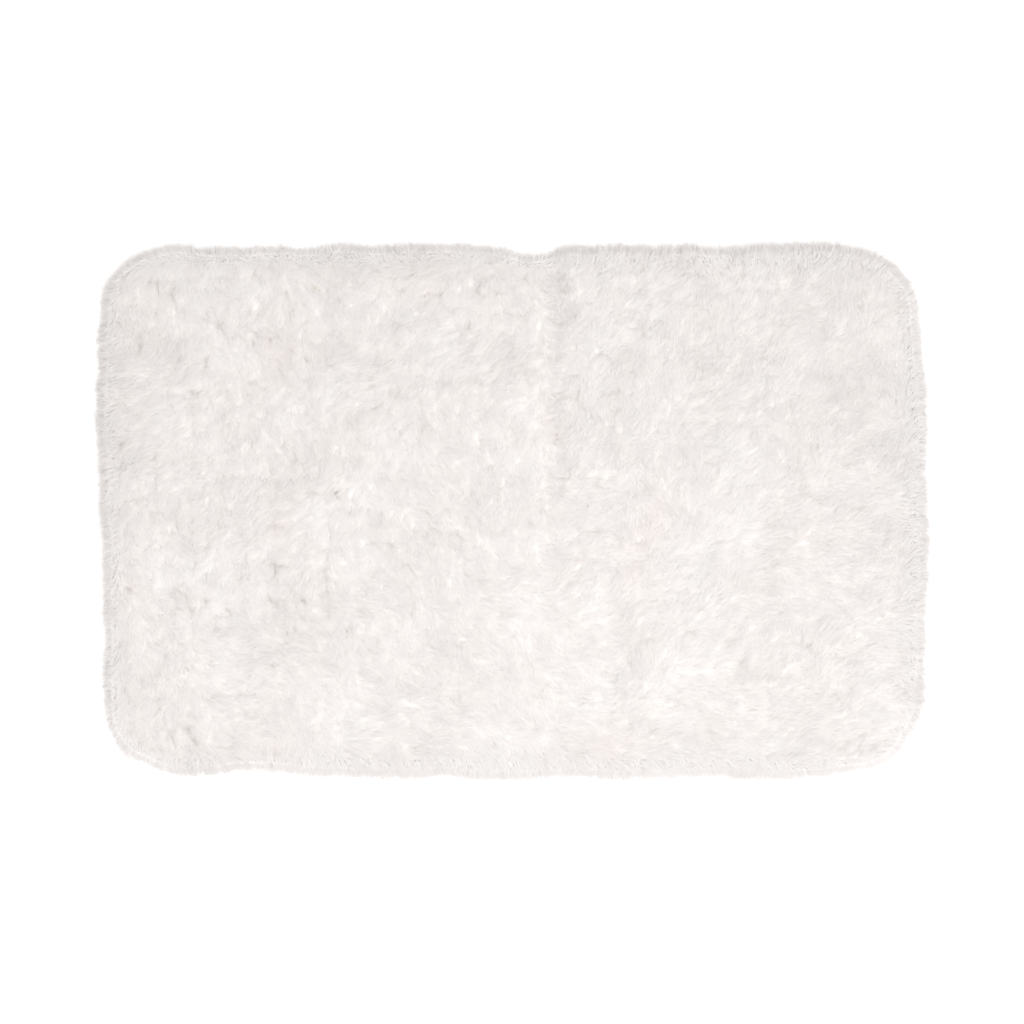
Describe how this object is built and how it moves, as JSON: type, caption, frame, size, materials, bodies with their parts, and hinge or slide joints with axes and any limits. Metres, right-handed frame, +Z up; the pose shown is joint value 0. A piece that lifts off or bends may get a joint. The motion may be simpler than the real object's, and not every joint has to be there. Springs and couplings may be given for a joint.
{
  "type": "bath mat",
  "caption": "Rectangular plush bath mat with rounded corners: deep pile leaning out past a taped edge, over backing layers with rubber grip strips.",
  "frame": {"origin": "middle of the footprint, on the floor under the grip strips", "axes": "+X along the long side, +Y along the short side, +Z up through the pile"},
  "size_m": [0.84, 0.54, 0.0298],
  "materials": {
    "pile": "matte",
    "tufting_cloth": "matte",
    "latex": "matte",
    "nonslip_cloth": "matte",
    "grip_strips": "satin",
    "binding_tape": "matte",
    "sewing_thread": "satin",
    "label_satin": "satin"
  },
  "bodies": {
    "root": {"pile_tufts": "pile", "tufting_cloth": "tufting_cloth", "tuft_lock_latex": "latex", "nonslip_cloth": "nonslip_cloth", "grip_strips": "grip_strips", "edge_binding": "binding_tape", "binding_stitches": "sewing_thread", "care_label": "label_satin", "label_stitches": "sewing_thread"}
  },
  "joints": []
}
